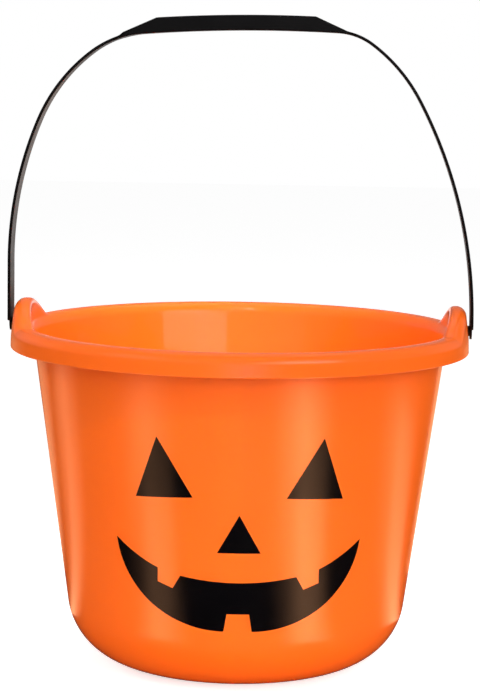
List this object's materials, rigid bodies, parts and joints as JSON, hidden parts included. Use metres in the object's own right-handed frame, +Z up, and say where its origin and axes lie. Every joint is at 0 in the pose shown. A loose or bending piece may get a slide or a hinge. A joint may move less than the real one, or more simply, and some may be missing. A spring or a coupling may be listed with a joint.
{
  "type": "candy pail",
  "caption": "Tapered open plastic pail with a rolled rim, raised ears, a stuck-on jack-o'-lantern face and a swinging strap handle with a hand grip, for carrying sweets.",
  "frame": {"origin": "middle of the foot, on the surface that the pail stands on", "axes": "+Z up, -Y out of the pail's face, +X along the handle's hinge line, to the right of someone who looks at the face"},
  "size_m": [0.2232, 0.22, 0.3106],
  "materials": {
    "orange_plastic": "semi-gloss orange polypropylene, moulded",
    "black_plastic": "semi-gloss black polypropylene, moulded",
    "black_vinyl": "gloss black vinyl sticker"
  },
  "bodies": {
    "pail": {"pail_body": "orange_plastic", "left_eye_decal": "black_vinyl", "right_eye_decal": "black_vinyl", "nose_decal": "black_vinyl", "mouth_decal": "black_vinyl"},
    "bail": {"bail_handle": "black_plastic"}
  },
  "joints": [
    {"name": "bail_swing", "type": "hinge", "parent": "pail", "child": "bail", "pos_m": [0, 0, 0.1622], "axis": [1, 0, 0], "range_deg": [-136, 136]}
  ]
}
